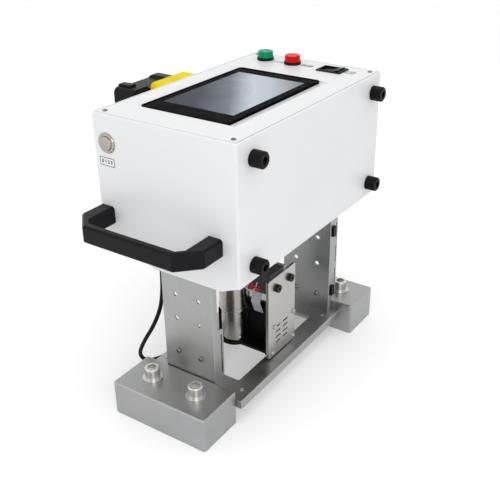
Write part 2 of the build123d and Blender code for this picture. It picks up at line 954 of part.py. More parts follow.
# Bare legend plates
for x, y, width, depth in (start_legend, stop_legend, switch_legend):
    keep(
        "legend_plates",
        block(
            (x - width / 2, x + width / 2),
            (y - depth / 2, y + depth / 2),
            (top_z, top_z + legend_thickness),
        ),
    )
legend_x, legend_z, legend_width, legend_height = front_legend
keep(
    "legend_plates",
    block(
        (legend_x - legend_width / 2, legend_x + legend_width / 2),
        (front_y - legend_thickness, front_y),
        (legend_z - legend_height / 2, legend_z + legend_height / 2),
    ),
)


# Front button
def front_button():
    """Ring with a barrel through the wall, a plunger in it and a nut behind the wall."""
    outer = front_y - ring_thickness
    ring = rod_y(ring_x, ring_z, (outer, front_y), ring_radius)
    ring = chamfer(ring.edges().group_by(Axis.Y)[0], ring_thickness * half_share)
    ring += rod_y(ring_x, ring_z, (front_y, front_y + ring_barrel_length), ring_bore + collar_wall)
    ring -= rod_y(
        ring_x,
        ring_z,
        (outer - overrun, outer + plunger_depth + plunger_travel + run_gap),
        ring_bore,
    )
    keep("front_button_ring", ring)
    face = outer - plunger_rise
    plunger = rod_y(ring_x, ring_z, (face, outer + plunger_depth), plunger_radius)
    plunger = chamfer(plunger.edges().group_by(Axis.Y)[0], plunger_rise * half_share)
    keep("front_button_cap", plunger)
    inner = front_y + wall
    nut = Pos(ring_x, inner + nut_height, ring_z) * face_front * extrude(
        RegularPolygon(ring_radius, hex_sides),
        nut_height,
    )
    keep(
        "panel_nuts",
        nut - rod_y(
            ring_x,
            ring_z,
            (front_y, front_y + ring_barrel_length),
            ring_bore + collar_wall + seat_gap,
        ),
    )


front_button()
shell_solid -= rod_y(
    ring_x,
    ring_z,
    (front_y - overrun, front_y + wall + overrun),
    ring_bore + collar_wall + seat_gap,
)


# Carrying handle
def handle():
    """Moulded bridge with cut corners and bevelled edges, and its two screws."""
    x0 = handle_x - handle_width / 2
    x1 = handle_x + handle_width / 2
    y0 = front_y - handle_reach
    outer = [
        (x0, front_y),
        (x0, y0 + handle_corner),
        (x0 + handle_corner, y0),
        (x1 - handle_corner, y0),
        (x1, y0 + handle_corner),
        (x1, front_y),
    ]
    inner_front = y0 + handle_bar
    left = x0 + handle_arm
    right = x1 - handle_arm
    inner = [
        (left, front_y + overrun),
        (left, inner_front + handle_inner_corner),
        (left + handle_inner_corner, inner_front),
        (right - handle_inner_corner, inner_front),
        (right, inner_front + handle_inner_corner),
        (right, front_y + overrun),
    ]
    z_span = (handle_low, handle_low + handle_height)
    body = prism_z(outer, z_span) - prism_z(inner, (z_span[0] - overrun, z_span[1] + overrun))
    faces = body.faces().filter_by(Axis.Z)
    rims = [edge for face in faces for edge in face.edges() if edge.center().Y < front_y - overrun]
    body = chamfer(rims, handle_bevel)
    for x in (x0 + handle_arm / 2, x1 - handle_arm / 2):
        z = handle_low + handle_height / 2
        body -= rod_y(
            x,
            z,
            (front_y - handle_screw_length, front_y + overrun),
            handle_screw_radius + seat_gap,
        )
        screw = rod_y(x, z, (front_y - handle_screw_length + overrun, front_y + wall), handle_screw_radius)
        screw += rod_y(x, z, (front_y + wall, front_y + wall + handle_washer_height), handle_screw_head)
        keep("handle_screws", screw)
    return body


keep("carry_handle", handle())
for x in (handle_x - handle_width / 2 + handle_arm / 2, handle_x + handle_width / 2 - handle_arm / 2):
    shell_solid -= rod_y(
        x,
        handle_low + handle_height / 2,
        (front_y - overrun, front_y + wall + overrun),
        handle_screw_radius + seat_gap,
    )


# Bumpers on the right side
def bumper(y, z):
    """A round bumper and the recessed screw that holds it."""
    body = rod_x(y, z, (right_x, bumper_outer), bumper_radius)
    body = chamfer(body.edges().group_by(Axis.X)[-1], bumper_edge)
    body -= rod_x(y, z, (bumper_outer - bumper_recess_depth, bumper_outer + overrun), bumper_recess_radius)
    body -= rod_x(y, z, (right_x - overrun, bumper_outer), bumper_shank_radius + seat_gap)
    seat = bumper_outer - bumper_recess_depth
    screw = rod_x(y, z, (seat, seat + bumper_screw_head), bumper_screw_radius)
    screw += rod_x(y, z, (right_x - wall - bumper_screw_head, seat), bumper_shank_radius)
    return body, screw


for z in (bumper_low, bumper_high):
    for y in (bumper_middle_y - bumper_span / 2, bumper_middle_y + bumper_span / 2):
        rubber, screw = bumper(y, z)
        keep("bumpers", rubber)
        keep("bumper_screws", screw)
        shell_solid -= rod_x(
            y,
            z,
            (right_x - wall - overrun, right_x + overrun),
            bumper_shank_radius + seat_gap,
        )

keep("head_shell", shell_solid)


# Battery dock and battery pack
def battery_dock():
    """A moulded shoe on the head's left wall, with a sloped hood along its top."""
    y0 = dock_front_y
    y1 = y0 + dock_length
    z1 = dock_top
    z0 = z1 - dock_height
    x1 = left_x
    x0 = left_x - dock_thickness
    body = block((x0, x1), (y0, y1), (z0, z1))
    body = fillet(body.edges().filter_by(Axis.X), dock_radius)
    body = fillet(body.edges().group_by(Axis.X)[0], dock_radius * half_share)
    hood_low = z1 - dock_radius
    hood_high = z1 + hood_rise
    hood = [
        (hood_front_y - hood_slope, hood_low),
        (hood_front_y, hood_high - hood_edge),
        (hood_front_y + hood_edge, hood_high),
        (hood_front_y + hood_length - hood_edge, hood_high),
        (hood_front_y + hood_length, hood_high - hood_edge),
        (hood_front_y + hood_length + hood_slope, hood_low),
    ]
    hood_body = prism_x(hood, (x0, x1))
    return body + chamfer(hood_body.edges().group_by(Axis.Z)[-1].filter_by(Axis.Y), hood_edge)


def dock_rail(grow=0.0):
    """The T rail on the dock's outer face; grow widens it for the pack's slot."""
    x0 = left_x - dock_thickness
    z_mid = dock_top - dock_height / 2
    y_span = (dock_front_y - grow, dock_front_y + pack_length * rail_share + grow)
    neck = block(
        (x0 - dock_rail_depth, x0),
        y_span,
        (
            z_mid - dock_rail_height / 2 + dock_rail_neck - grow,
            z_mid + dock_rail_height / 2 - dock_rail_neck + grow,
        ),
    )
    head_low = x0 - dock_rail_depth - grow
    head = block(
        (head_low, x0 - dock_rail_depth * half_share + grow),
        y_span,
        (z_mid - dock_rail_height / 2 - grow, z_mid + dock_rail_height / 2 + grow),
    )
    return neck + head


keep("battery_dock", battery_dock() + dock_rail())


def battery_pack():
    """Rounded case with a saddle and a band, a slot for the rail, and a latch button."""
    x1 = left_x - dock_thickness - run_gap
    x0 = x1 - pack_thickness + run_gap
    y0 = pack_front_y
    y1 = y0 + pack_length
    z_mid = dock_top - dock_height / 2
    z0 = z_mid - pack_height / 2
    z1 = z_mid + pack_height / 2
    body = block((x0, x1), (y0, y1), (z0, z1))
    body = fillet(body.edges().filter_by(Axis.X), pack_radius)
    body = fillet(body.edges().group_by(Axis.X)[0], pack_radius * half_share)
    groove = block(
        (x0 - overrun, x1 - pack_radius),
        (y0 - overrun, y1 + overrun),
        (z0 - overrun, z1 + overrun),
    )
    groove -= block(
        (x0 - overrun, x1), (y0 - 2 * overrun, y1 + 2 * overrun), (
            z0 + pack_band_depth,
            z1 - pack_band_depth,
        )
    )
    band = (y0 + pack_length * band_share, y0 + pack_length * (band_share + band_share))
    body -= groove & block((x0 - overrun, x1), band, (z0 - overrun, z1 + overrun))
    saddle = [
        (saddle_y - saddle_slope, z1 + overrun),
        (saddle_y, z1 - saddle_depth),
        (saddle_y + saddle_length, z1 - saddle_depth),
        (saddle_y + saddle_length + saddle_slope, z1 + overrun),
    ]
    body -= prism_x(saddle, (x0 - overrun, x1 + overrun))
    travel_slot = block(
        (left_x - dock_thickness - dock_rail_depth - run_gap, x1 + overrun),
        (dock_front_y - run_gap, y1 + overrun),
        (
            z_mid - dock_rail_height / 2 + dock_rail_neck - run_gap,
            z_mid + dock_rail_height / 2 - dock_rail_neck + run_gap,
        ),
    )
    head_slot = block(
        (
            left_x - dock_thickness - dock_rail_depth - run_gap,
            left_x - dock_thickness - dock_rail_depth * half_share + run_gap,
        ),
        (dock_front_y - run_gap, y1 + overrun),
        (z_mid - dock_rail_height / 2 - run_gap, z_mid + dock_rail_height / 2 + run_gap),
    )
    body -= travel_slot + head_slot
    latch_x = (x0 + x1 - pack_radius) / 2
    pocket = block(
        (latch_x - latch_length / 2 - run_gap, latch_x + latch_length / 2 + run_gap),
        (y0 + pack_radius - run_gap, y0 + pack_radius + latch_width + run_gap),
        (z1 - latch_rise - latch_travel - run_gap, z1 + overrun),
    )
    body -= pocket
    latch = block(
        (latch_x - latch_length / 2, latch_x + latch_length / 2),
        (y0 + pack_radius, y0 + pack_radius + latch_width),
        (z1 - latch_rise, z1 + latch_rise),
    )
    latch = fillet(latch.edges().group_by(Axis.Z)[-1], latch_rise * half_share)
    return body, latch


pack_solid, latch_solid = battery_pack()
keep("battery_pack", pack_solid)
keep("battery_latch", latch_solid)


# Stage: rails along Y on the floor, a bridge across them, and a rail along X on the bridge
carriage_back = unit_y + housing_radius + run_gap + overrun
carriage_rear = carriage_back + carriage_thickness
beam_front = carriage_rear + x_block_depth
beam_back = beam_front + beam_thickness
beam_mid = (beam_front + beam_back) / 2
beam_low = floor_top + rail_height + block_top
beam_high = beam_low + beam_height
x_rail_z = (beam_low + beam_high) / 2
x_screw_y = beam_front - x_motor_size / 2
clamp_radius = housing_radius + clamp_wall


def rail_block(x, y):
    """A block that straddles a Y rail and carries one end of the bridge."""
    half = rail_breadth / 2 + block_wall_side
    half_rail = rail_breadth / 2 + run_gap
    body = block(
        (x - half, x + half),
        (y - block_run / 2, y + block_run / 2),
        (floor_top + overrun, beam_low),
    )
    return body - block(
        (x - half_rail, x + half_rail),
        (y - block_run, y + block_run),
        (floor_top, floor_top + rail_height + run_gap),
    )


def y_rail(x):
    """One guide rail on the floor, with its upper edges cut back."""
    rail = block(
        (x - rail_breadth / 2, x + rail_breadth / 2),
        (y_rail_front, y_rail_front + y_rail_length),
        (floor_top, floor_top + rail_height),
    )
    return chamfer(rail.edges().filter_by(Axis.Y).group_by(Axis.Z)[-1], overrun)


for side in (-1, 1):
    keep("y_rails", y_rail(side * rail_x))
    keep("y_rail_blocks", rail_block(side * rail_x, beam_mid))


def bridge():
    """The beam with its clearance hole for the Y screw, and the nut behind it."""
    beam = block((-beam_length / 2, beam_length / 2), (beam_front, beam_back), (beam_low, beam_high))
    beam -= rod_y(
        y_screw_x,
        y_screw_z,
        (beam_front - overrun, beam_back + overrun),
        screw_radius + hole_gap,
    )
    half = nut_block / 2
    nut_span = (beam_back, beam_back + nut_block_length)
    nut = block((y_screw_x - half, y_screw_x + half), nut_span, (y_screw_z - half, y_screw_z + half))
    nut -= rod_y(
        y_screw_x,
        y_screw_z,
        (nut_span[0] - overrun, nut_span[1] + overrun),
        screw_radius + running_fit,
    )
    half_motor = x_motor_size / 2
    right = beam_length / 2
    bearing = block(
        (right - bearing_thickness, right),
        (x_screw_y - half_motor, beam_front),
        (x_screw_z - half_motor, x_screw_z + half_motor),
    )
    hole = (right - bearing_thickness - overrun, right + overrun)
    beam += bearing - rod_x(x_screw_y, x_screw_z, hole, screw_radius + running_fit)
    keep("bridge_beam", beam + nut)
    rail_span = (x_rail_z - rail_breadth / 2, x_rail_z + rail_breadth / 2)
    rail_left = -beam_length / 2 + run_gap
    keep(
        "x_rail",
        block((rail_left, rail_left + x_rail_length), (beam_front - rail_height, beam_front), rail_span),
    )


bridge()


def stepper(size, length):
    """A square motor with its face at the origin; the body runs along -Z and the boss stands along +Z."""
    body = Box(size, size, length, align=(Align.CENTER, Align.CENTER, Align.MAX))
    body = chamfer(body.edges().filter_by(Axis.Z), size * motor_corner_share)
    body += Cylinder(motor_boss_radius, motor_boss_height, align=(Align.CENTER, Align.CENTER, Align.MIN))
    bore = Cylinder(
        screw_radius + running_fit,
        motor_bore_depth,
        align=(Align.CENTER, Align.CENTER, Align.MAX),
    )
    return body - Pos(0, 0, motor_boss_height) * bore


def y_drive():
    """Motor, stand, screw, coupling collar and front bearing that move the bridge."""
    face = y_screw_rear + motor_boss_height
    keep("y_motor", Pos(y_screw_x, face, y_screw_z) * face_front * stepper(motor_size, motor_length))
    half = motor_size / 2
    stand = block((y_screw_x - half, y_screw_x + half), (y_screw_rear, face), (floor_top, y_screw_z + half))
    stand -= rod_y(
        y_screw_x,
        y_screw_z,
        (y_screw_rear - overrun, face + overrun),
        motor_boss_radius + seat_gap,
    )
    foot = block(
        (y_screw_x - half, y_screw_x + half),
        (face, face + motor_length),
        (floor_top, y_screw_z - half),
    )
    keep("y_screw_supports", stand + foot)
    screw_end = y_screw_rear + motor_bore_depth - overrun
    collar_span = (y_screw_rear - coupling_length - run_gap, y_screw_rear - run_gap)
    collar = rod_y(y_screw_x, y_screw_z, collar_span, coupling_radius)
    keep("y_screw", collar + rod_y(y_screw_x, y_screw_z, (y_screw_front, screw_end), screw_radius))
    bearing = block(
        (y_screw_x - bearing_width / 2, y_screw_x + bearing_width / 2),
        (y_screw_front, y_screw_front + bearing_thickness),
        (floor_top, y_screw_z + bearing_width / 2),
    )
    hole = (y_screw_front - overrun, y_screw_front + bearing_thickness + overrun)
    keep("y_screw_supports", bearing - rod_y(y_screw_x, y_screw_z, hole, screw_radius + running_fit))


y_drive()


def x_drive():
    """Motor at the bridge's left end, screw along the bridge and a bearing at its right end."""
    face = -beam_length / 2 + x_motor_length
    keep("x_motor", Pos(face, x_screw_y, x_screw_z) * face_right * stepper(x_motor_size, x_motor_length))
    screw_start = face + motor_boss_height - motor_bore_depth + overrun
    keep("x_screw", rod_x(x_screw_y, x_screw_z, (screw_start, beam_length / 2), screw_radius))


x_drive()


def carriage():
    """Block on the X rail, nut on the X screw, and the upright plate that carries the marking unit."""
    half = x_block_height / 2
    rail_half = rail_breadth / 2 + run_gap
    body = block(
        (unit_x - x_block_length / 2, unit_x + x_block_length / 2),
        (carriage_rear, beam_front - overrun),
        (x_rail_z - half, x_rail_z + half),
    )
    body -= block(
        (left_x, right_x),
        (beam_front - rail_height - run_gap, beam_front),
        (x_rail_z - rail_half, x_rail_z + rail_half),
    )
    nut_half = x_screw_y - carriage_rear
    nut = block(
        (unit_x - nut_block_length / 2, unit_x + nut_block_length / 2),
        (carriage_rear, x_screw_y + nut_half),
        (x_screw_z - nut_half, x_screw_z + nut_half),
    )
    nut -= rod_x(x_screw_y, x_screw_z, (left_x, right_x), screw_radius + running_fit)
    keep("x_slider", body + nut)
    plate = block(
        (unit_x - clamp_radius, plate_x),
        (carriage_back, carriage_rear),
        (carriage_bottom, carriage_top),
    )
    plate -= block(
        (unit_x + clamp_radius, plate_x + overrun),
        (carriage_back - overrun, carriage_rear + overrun),
        (arm_top, carriage_top + overrun),
    )
    keep("carriage_plate", plate)
    z_span = (clamp_base, clamp_base + clamp_height)
    cut_span = (clamp_base - overrun, clamp_base + clamp_height + overrun)
    ring = rod_z(unit_x, unit_y, z_span, clamp_radius)
    ring += block((unit_x - clamp_radius, unit_x + clamp_radius), (unit_y, carriage_back), z_span)
    ring -= rod_z(unit_x, unit_y, cut_span, housing_radius)
    ring -= block((left_x, right_x), (carriage_back, carriage_rear + clamp_radius), cut_span)
    ring -= block((unit_x - overrun, unit_x + overrun), (unit_y - clamp_radius - overrun, unit_y), cut_span)
    keep("clamp_ring", ring)


carriage()


def spring():
    """Return spring of the marking pin: one wire wound round the pin between the end cap and the collar."""
    base = sleeve_bottom + spring_wire / 2 + run_gap
    pitch = (spring_height - spring_wire - 2 * run_gap) / spring_turns
    edges = []
    for index in range(2 * spring_turns):
        side = 1 if index % 2 == 0 else -1
        start = Vector(side * spring_radius, 0, index * pitch / 2)
        end = Vector(-side * spring_radius, 0, (index + 1) * pitch / 2)
        crown = (start + end) / 2 + Vector(0, side * spring_radius, 0)
        edges.append(ThreePointArc(start, crown, end))
    section = Plane(origin=edges[0] @ 0, z_dir=edges[0] % 0) * RegularPolygon(spring_wire / 2, spring_sides)
    wire = sweep(section, path=Wire(edges))
    return Pos(unit_x, unit_y, base) * wire


def marking_unit():
    """Upper housing, lower sleeve, end cap and the pin that strikes the plate."""
    ring_top = housing_bottom + housing_ring_height
    housing = rod_z(unit_x, unit_y, (ring_top, housing_top), housing_radius)
    housing = chamfer(housing.edges().group_by(Axis.Z)[-1], housing_ring_proud)
    flange = rod_z(unit_x, unit_y, (housing_bottom, ring_top), housing_radius + housing_ring_proud)
    housing += chamfer(flange.edges().filter_by(GeomType.CIRCLE), housing_ring_proud * half_share)
    keep("unit_housing", housing)
    sleeve = rod_z(unit_x, unit_y, (sleeve_bottom, housing_bottom), sleeve_radius)
    sleeve = chamfer(sleeve.edges().group_by(Axis.Z)[0], sleeve_groove)
    groove_z = housing_bottom - housing_ring_height
    groove = rod_z(unit_x, unit_y, (groove_z - sleeve_groove, groove_z), sleeve_radius + overrun)
    groove -= rod_z(unit_x, unit_y, (groove_z - overrun, groove_z + overrun), sleeve_radius - sleeve_groove)
    bore_top = sleeve_bottom + pin_length - pin_reach
    sleeve -= groove + rod_z(
        unit_x,
        unit_y,
        (sleeve_bottom - overrun, bore_top),
        pin_collar_radius + run_gap,
    )
    keep("unit_sleeve", sleeve)
    cap_bottom = sleeve_bottom - cap_thickness
    cap = rod_z(unit_x, unit_y, (cap_bottom, sleeve_bottom), sleeve_radius - overrun)
    cap = chamfer(cap.edges().group_by(Axis.Z)[0], cap_edge)
    cap += rod_z(unit_x, unit_y, (cap_bottom - nub_height, cap_bottom), nub_radius)
    cap -= rod_z(
        unit_x,
        unit_y,
        (cap_bottom - nub_height - overrun, sleeve_bottom + overrun),
        pin_radius + running_fit,
    )
    keep("unit_end_cap", cap)
    tip_z = cap_bottom - nub_height - pin_reach
    shoulder = tip_z + pin_reach - pin_radius
    pin = rod_z(unit_x, unit_y, (shoulder, shoulder + pin_length), pin_radius)
    pin += Pos(unit_x, unit_y, tip_z) * Cone(
        pin_tip_radius,
        pin_radius,
        shoulder - tip_z,
        align=(Align.CENTER, Align.CENTER, Align.MIN),
    )
    collar_z = sleeve_bottom + spring_height
    pin += rod_z(unit_x, unit_y, (collar_z, collar_z + pin_collar_height), pin_collar_radius)
    keep("marking_pin", pin)
    keep("pin_spring", spring())


marking_unit()


def arm_and_plate():
    """Arm block on the carriage, side plate, lower bracket with its cradle, and their screws."""
    arm_x = plate_x - arm_length
    arm = block(
        (arm_x, plate_x),
        (carriage_back - arm_depth, carriage_back),
        (arm_top - arm_height, arm_top),
    )
    keep("arm_block", chamfer(arm.edges().filter_by(Axis.X).group_by(Axis.Y)[0], arm_edge))
    plate_low = plate_top - plate_height
    plate_span = (plate_front, plate_front + plate_width)
    plate = block((plate_x, plate_x + plate_thickness), plate_span, (plate_low, plate_top))
    plate = fillet(plate.edges().filter_by(Axis.X), plate_corner)
    outer = plate_x + plate_thickness
    for row in range(slot_rows):
        z = plate_slot_z - row * plate_slot_pitch
        for column in range(slot_columns):
            y = plate_slot_y + column * plate_slot_step
            slot = block(
                (outer - plate_slot_depth, outer + overrun),
                (y, y + plate_slot_length),
                (z, z + plate_slot_width),
            )
            plate -= slot
    keep("side_plate", plate)
    for y, z in plate_cap_places:
        head = rod_x(y, z, (outer, outer + plate_cap_height), plate_cap_radius)
        head = chamfer(head.edges().group_by(Axis.X)[-1], plate_cap_height * cap_chamfer_share)
        socket = Pos(outer + plate_cap_height * half_share, y, z) * face_right * extrude(
            RegularPolygon(pan_shank_radius, hex_sides),
            plate_cap_height,
        )
        keep("plate_cap_screws", head - socket)
    for y, z in plate_pan_places:
        screw = rod_x(y, z, (outer, outer + plate_pan_height), plate_pan_radius)
        screw = chamfer(screw.edges().group_by(Axis.X)[-1], plate_pan_height * half_share)
        keep("plate_screws", screw)
    web_span = (plate_front + bracket_inset, plate_front + plate_width - bracket_inset)
    web = block((plate_x - bracket_web, plate_x), web_span, (bracket_bottom, bracket_top))
    cradle_outer = sleeve_radius + run_gap + cradle_wall
    foot = block(
        (unit_x, plate_x),
        (unit_y - bracket_foot, web_span[1]),
        (bracket_bottom, bracket_bottom + bracket_foot),
    )
    bracket = web + foot + rod_z(unit_x, unit_y, (bracket_bottom, cradle_top), cradle_outer)
    reach = cradle_outer + overrun
    opening = prism_z(
        [
            (unit_x, unit_y),
            (unit_x - reach * cradle_slant_share, unit_y - reach),
            (unit_x + reach, unit_y - reach),
            (unit_x + reach, unit_y + reach * cradle_slant_share),
        ],
        (bracket_bottom + bracket_foot, cradle_top + overrun),
    )
    bracket -= opening
    bracket -= rod_z(
        unit_x,
        unit_y,
        (bracket_bottom - overrun, cradle_top + overrun),
        sleeve_radius + seat_gap,
    )
    keep("cradle_bracket", bracket)


arm_and_plate()


def ribbon_cable():
    """Flat cable that hangs below the arm block, folded once."""
    x0 = ribbon_x
    y1 = unit_y + ribbon_setback
    top = arm_top - arm_height
    outline = [
        (y1, top),
        (y1 - ribbon_fall, top - ribbon_drop),
        (y1, top - 2 * ribbon_drop),
        (y1 + ribbon_thickness, top - 2 * ribbon_drop),
        (y1 - ribbon_fall + ribbon_thickness, top - ribbon_drop),
        (y1 + ribbon_thickness, top),
    ]
    return prism_x(outline, (x0, x0 + ribbon_width))


keep("ribbon_cable", ribbon_cable())


# Control board
def control_board():
    """A board on four posts at the rear of the head, with three chips."""
    x_span = (board_x - board_length / 2, board_x + board_length / 2)
    y_span = (board_y - board_width / 2, board_y + board_width / 2)
    low = floor_top + board_post_height
    inset = 2 * board_post_radius
    board = block(x_span, y_span, (low, low + board_thickness))
    for x in (x_span[0] + inset, x_span[1] - inset):
        for y in (y_span[0] + inset, y_span[1] - inset):
            board += rod_z(x, y, (floor_top, low), board_post_radius)
    chip_low = low + board_thickness
    for step in (-1, 0, 1):
        x = board_x + step * 2 * board_chip
        board += block(
            (x - board_chip / 2, x + board_chip / 2),
            (board_y - board_chip / 2, board_y + board_chip / 2),
            (chip_low, chip_low + board_chip_height),
        )
    keep("control_board", board)


control_board()


# Glands under the floor
def lead_gland():
    """Flat nut against the floor and a tapered, ribbed strain relief."""
    nut_low = wall - gland_nut_height
    body = hexagon(gland_x, gland_y, (nut_low, wall), gland_hex)
    mouth_z = lead_route[0][2]
    taper = Cone(
        gland_mouth_radius,
        gland_hex * half_share - overrun,
        nut_low - mouth_z,
        align=(Align.CENTER, Align.CENTER, Align.MIN),
    )
    body += Pos(gland_x, gland_y, mouth_z) * taper
    body += rod_z(gland_x, gland_y, (wall, floor_top + gland_nut_height), lead_radius + seat_gap)
    keep("cable_glands", body)


def spare_gland():
    """Closed gland under the floor, behind the marking unit."""
    low = wall - spare_gland_length
    body = rod_z(spare_gland_x, spare_gland_y, (low, wall), spare_gland_radius)
    body = chamfer(body.edges().group_by(Axis.Z)[0], spare_gland_radius * half_share)
    body += hexagon(
        spare_gland_x,
        spare_gland_y,
        (wall - gland_nut_height, wall),
        2 * spare_gland_radius + overrun,
    )
    keep(
        "cable_glands",
        body + rod_z(spare_gland_x, spare_gland_y, (wall, floor_top), lead_radius + seat_gap),
    )


lead_gland()
spare_gland()


# Power lead: straight runs joined by tangent arcs, then a coil, then the plug
def arc_radii(points):
    """The largest arc at each corner that both of its runs allow."""
    radii = []
    for before, corner, after in zip(points, points[1:], points[2:]):
        incoming = Vector(corner) - Vector(before)
        outgoing = Vector(after) - Vector(corner)
        half_turn = math.radians(incoming.get_angle(outgoing)) / 2
        radii.append(arc_share * min(incoming.length, outgoing.length) / math.tan(half_turn))
    return radii


def lead_tube():
    """The lead from its gland to the start of the coil."""
    radii = arc_radii(lead_route)
    path = FilletPolyline(*lead_route, radius=radii)
    section = Plane(origin=path @ 0, z_dir=path % 0) * Circle(lead_radius)
    tube = sweep(section, path=path)
    ideal = math.pi * lead_radius**2 * path.length
    print("lead radii", [round(radius) for radius in radii])
    print(
        "lead tube length",
        round(path.length),
        "volume over ideal",
        round(tube.volume / ideal, shown_digits),
    )
    return tube


def coil_turns():
    """Half turns of the coil: in on the lower layer, up at the middle, and out on the upper layer."""
    x, y, z = lead_route[-1]
    y += lead_diameter
    middle = coil_half_turns // 2
    edges = [Line((x, y - lead_diameter, z), (x, y, z))]
    for index in range(coil_half_turns):
        depth = min(index, coil_half_turns - 1 - index)
        radius = coil_radius - depth * coil_pitch / 2
        side = 1 if index % 2 == 0 else -1
        rise = coil_rise if index == middle else 0
        start = Vector(x, y, z)
        end = Vector(x - side * 2 * radius, y, z + rise)
        crown = (start + end) / 2 + Vector(0, side * (end - start).length / 2, 0)
        edges.append(ThreePointArc(start, crown, end))
        x, z = end.X, end.Z
    edges.append(Line((x, y, z), (x, y - lead_diameter, z)))
    return edges


def least_gap(edges):
    """Least free distance between turns, measured on points along the coil's centre line."""
    points = []
    travelled = 0.0
    for edge in edges:
        count = max(2, round(edge.length / lead_radius))
        for step in range(count):
            points.append((travelled + edge.length * step / count, edge @ (step / count)))
        travelled += edge.length
    least = travelled
    for index, (place, point) in enumerate(points):
        for other_place, other in points[index + 1:]:
            if other_place - place > coil_radius:
                least = min(least, (other - point).length)
    return least - lead_diameter


def lead_coil():
    """The coil as one solid, and the place where the lead leaves it."""
    edges = coil_turns()
    path = Wire(edges)
    section = Plane(origin=edges[0] @ 0, z_dir=edges[0] % 0) * RegularPolygon(lead_radius, coil_sides)
    coil = sweep(section, path=path)
    print("coil length", round(path.length), "least gap", round(least_gap(edges), shown_digits))
    return coil, edges[-1] @ 1


def power_plug(mouth):
    """Moulded plug that lies on the ground beside the coil, with a long tapered boot and two round pins."""
    boot = Cone(
        lead_radius + hole_gap,
        plug_height * half_share - overrun,
        plug_boot_length,
        align=(Align.CENTER, Align.CENTER, Align.MIN),
    )
    boot = Pos(mouth.X, mouth.Y, mouth.Z) * face_front * boot
    y1 = mouth.Y - plug_boot_length
    y0 = y1 - plug_length
    body = block(
        (mouth.X - plug_width / 2, mouth.X + plug_width / 2),
        (y0, y1),
        (ground_z, ground_z + plug_height),
    )
    body = fillet(body.edges().filter_by(Axis.Y), plug_height * plug_round_share)
    for side in (-1, 1):
        pin = rod_y(
            mouth.X + side * plug_pin_spacing / 2,
            ground_z + plug_height / 2,
            (y0 - plug_pin_length, y0),
            plug_pin_radius,
        )
        body += chamfer(pin.edges().group_by(Axis.Y)[0], plug_pin_radius * half_share)
    return body + boot


keep("power_lead", lead_tube())
coil_solid, coil_end = lead_coil()
keep("power_lead_coil", coil_solid)
keep("power_plug", power_plug(coil_end))


# Written files, moved to the stored origin
if __name__ == "__main__":
    os.makedirs("parts", exist_ok=True)
    for name, solids in parts.items():
        moved = [origin_shift * solid for solid in solids]
        shape = moved[0] if len(moved) == 1 else Compound(children=moved)
        export_step(shape, "parts/" + name + ".step")
    print(
        len(parts),
        "nodes, origin moved by",
        tuple(round(value, shown_digits) for value in origin_shift.position),
    )
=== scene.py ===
import bmesh
import bpy
import json
import math
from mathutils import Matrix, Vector


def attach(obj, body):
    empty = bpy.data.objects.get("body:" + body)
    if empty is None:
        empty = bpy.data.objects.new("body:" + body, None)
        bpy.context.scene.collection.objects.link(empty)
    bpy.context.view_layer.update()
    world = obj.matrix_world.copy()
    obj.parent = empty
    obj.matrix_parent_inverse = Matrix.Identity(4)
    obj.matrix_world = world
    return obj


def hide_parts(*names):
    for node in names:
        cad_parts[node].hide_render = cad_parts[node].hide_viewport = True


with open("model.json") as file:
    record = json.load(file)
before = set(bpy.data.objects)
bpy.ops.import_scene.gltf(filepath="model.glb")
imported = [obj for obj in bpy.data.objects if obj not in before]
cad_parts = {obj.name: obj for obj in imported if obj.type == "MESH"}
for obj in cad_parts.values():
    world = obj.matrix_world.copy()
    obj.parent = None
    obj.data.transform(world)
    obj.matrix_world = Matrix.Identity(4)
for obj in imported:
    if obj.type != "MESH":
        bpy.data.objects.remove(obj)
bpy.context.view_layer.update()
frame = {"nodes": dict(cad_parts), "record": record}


scene = bpy.context.scene

# Camera: at the photograph's angle, in metres in the model's frame
camera_place = (0.63592, -0.84874, 0.72367)
camera_turn = 32.783
camera_tilt = 26.973
camera_lens = 56.256
camera_shift = (-0.04269, -0.02254)

camera_data = bpy.data.cameras.new("camera")
camera_data.lens = camera_lens
camera_data.sensor_width = 36.0
camera_data.shift_x, camera_data.shift_y = camera_shift
camera = bpy.data.objects.new("camera", camera_data)
camera.location = camera_place
camera.rotation_euler = (math.radians(90.0 - camera_tilt), 0.0, math.radians(camera_turn))
scene.collection.objects.link(camera)
scene.camera = camera

# Lead: the same points as in the part's source, in metres
lead_diameter = 0.006
lead_points = [
    (-0.00775, -0.13175, 0.19500),
    (-0.00775, -0.13175, 0.14700),
    (-0.02675, -0.13175, 0.09700),
    (-0.05375, -0.13275, 0.05300),
    (-0.06575, -0.13275, 0.02500),
    (-0.06275, -0.11575, 0.00320),
    (-0.04775, -0.07575, 0.00300),
    (-0.03475, -0.03175, 0.00300),
    (-0.03575, 0.02225, 0.00300),
    (-0.04975, 0.06825, 0.00300),
    (-0.07775, 0.10825, 0.00300),
    (-0.10975, 0.14425, 0.00300),
    (-0.13075, 0.18225, 0.00300),
    (-0.13475, 0.22125, 0.00300),
]
coil_radius = 0.044
coil_pitch = 0.0075
coil_rise = 0.0082
coil_half_turns = 9
coil_steps = 8


